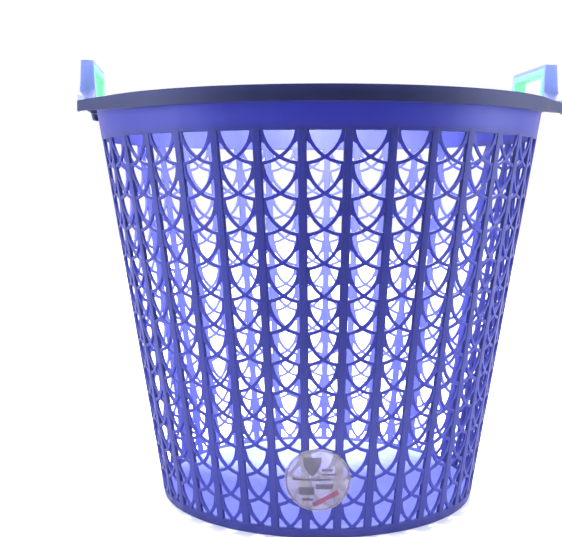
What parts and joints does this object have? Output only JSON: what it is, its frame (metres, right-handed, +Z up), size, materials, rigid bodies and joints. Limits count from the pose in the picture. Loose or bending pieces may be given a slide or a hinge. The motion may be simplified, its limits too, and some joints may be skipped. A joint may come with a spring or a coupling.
{
  "type": "wastebasket",
  "caption": "Round openwork plastic wastebasket, wider at the mouth, with a scale-pattern lattice wall, closed floor and upright loop handles with grip liners.",
  "frame": {"origin": "centre of the round base, on the surface the basket stands on", "axes": "+Z up through the mouth, +X towards the right handle, the handles on the X axis"},
  "size_m": [0.4388, 0.4346, 0.4052],
  "materials": {
    "basket": "semi-gloss translucent violet-blue polypropylene with a fine moulded texture",
    "handle": "semi-gloss pale violet-blue polypropylene",
    "grip": "satin light green plastic",
    "label": "glossy translucent film with a plain printed ring and bars"
  },
  "bodies": {
    "root": {"rim": "basket", "upper_band": "basket", "lattice_01": "basket", "lattice_02": "basket", "lattice_03": "basket", "lattice_04": "basket", "lattice_05": "basket", "lattice_06": "basket", "lattice_07": "basket", "lattice_08": "basket", "lattice_09": "basket", "lattice_10": "basket", "lattice_11": "basket", "lattice_12": "basket", "lattice_13": "basket", "lattice_14": "basket", "lattice_15": "basket", "lattice_16": "basket", "lattice_17": "basket", "lattice_18": "basket", "base_ring": "basket", "floor": "basket", "handle_left": "handle", "handle_right": "handle", "grip_left": "grip", "grip_right": "grip", "label": "label"}
  },
  "joints": []
}
